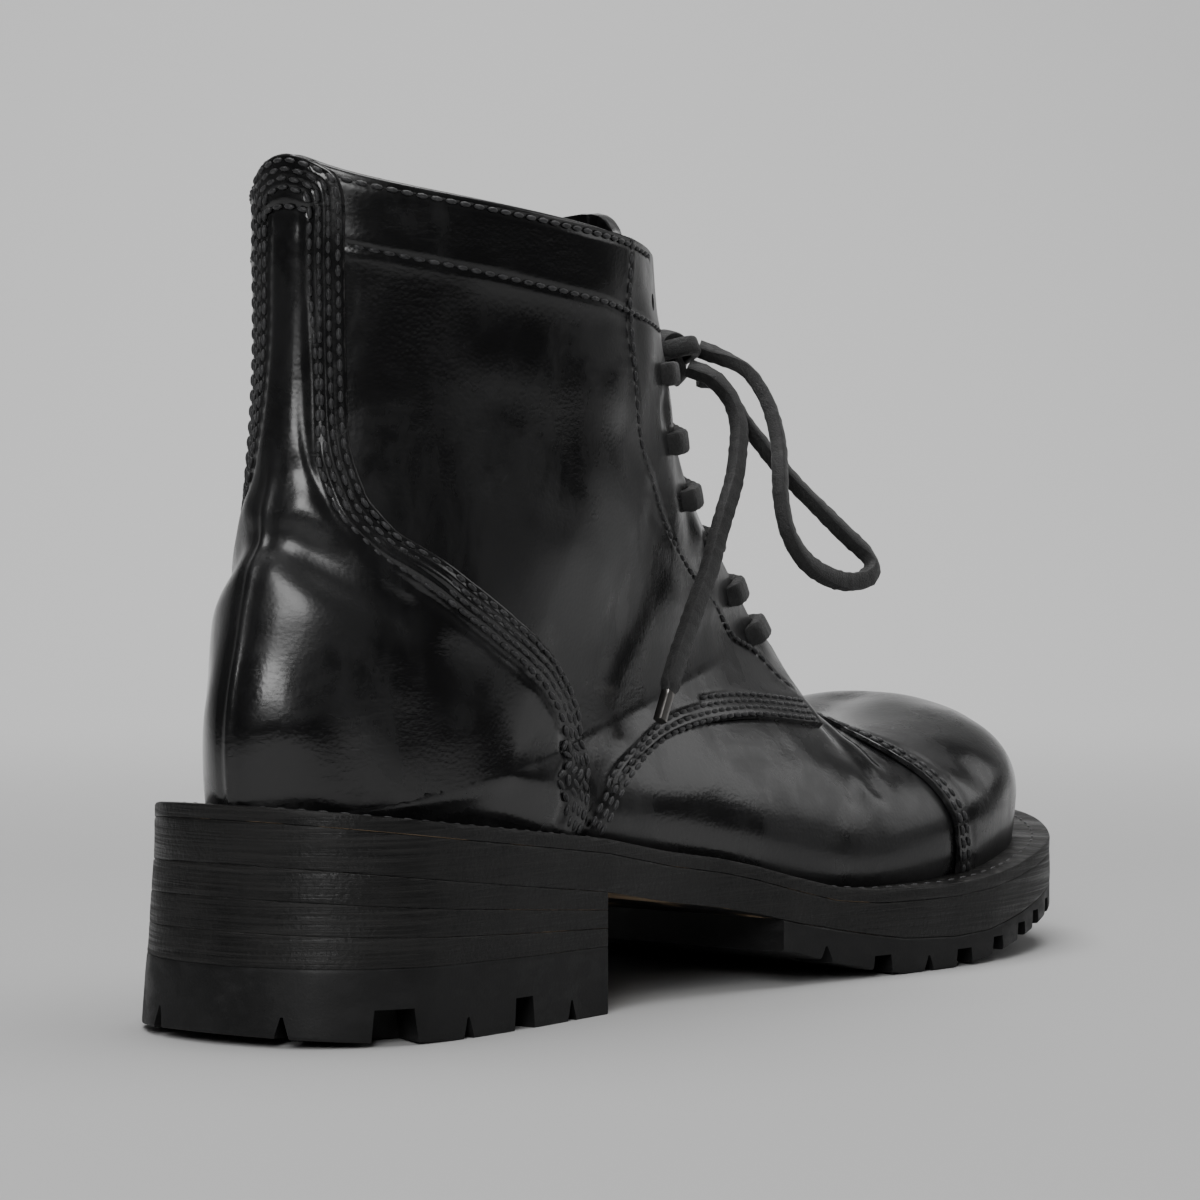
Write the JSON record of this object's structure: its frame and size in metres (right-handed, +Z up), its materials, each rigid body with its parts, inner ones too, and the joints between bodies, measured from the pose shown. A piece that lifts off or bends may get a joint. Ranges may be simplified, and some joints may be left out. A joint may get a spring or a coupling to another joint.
{
  "type": "service boot",
  "caption": "Ankle-high lace-up leather boot with a stitched heel counter and toe cap, on a stacked heel and a lugged rubber half sole.",
  "frame": {"origin": "on the floor, under the middle of the boot's length and width", "axes": "+X to the toe, +Y to the wearer's left, which is the inner side of this right boot, +Z up"},
  "size_m": [0.304, 0.1123, 0.187],
  "materials": {
    "leather": "polished black, high gloss with dull patches",
    "sole_leather": "black dyed edge, satin, rubbed",
    "insole_leather": "natural, matt",
    "rubber": "matt black",
    "lace": "waxed black cord"
  },
  "bodies": {
    "root": {"welt": "sole_leather", "midsole": "sole_leather", "insole": "insole_leather", "heel_lift_1": "sole_leather", "heel_lift_2": "sole_leather", "heel_lift_3": "sole_leather", "heel_top_lift": "rubber", "outsole": "rubber", "upper": "leather", "heel_counter": "leather", "quarter_lateral": "leather", "quarter_medial": "leather", "toe_cap": "leather", "tongue": "leather", "lace_bar_bottom": "lace", "lace_bar_top": "lace", "lace_cross_1": "lace", "lace_cross_2": "lace", "lace_cross_3": "lace", "lace_cross_4": "lace", "lace_cross_5": "lace", "lace_knot": "lace", "lace_loop_lateral": "lace", "lace_end_lateral": "lace", "lace_loop_medial": "lace", "lace_end_medial": "lace"}
  },
  "joints": []
}
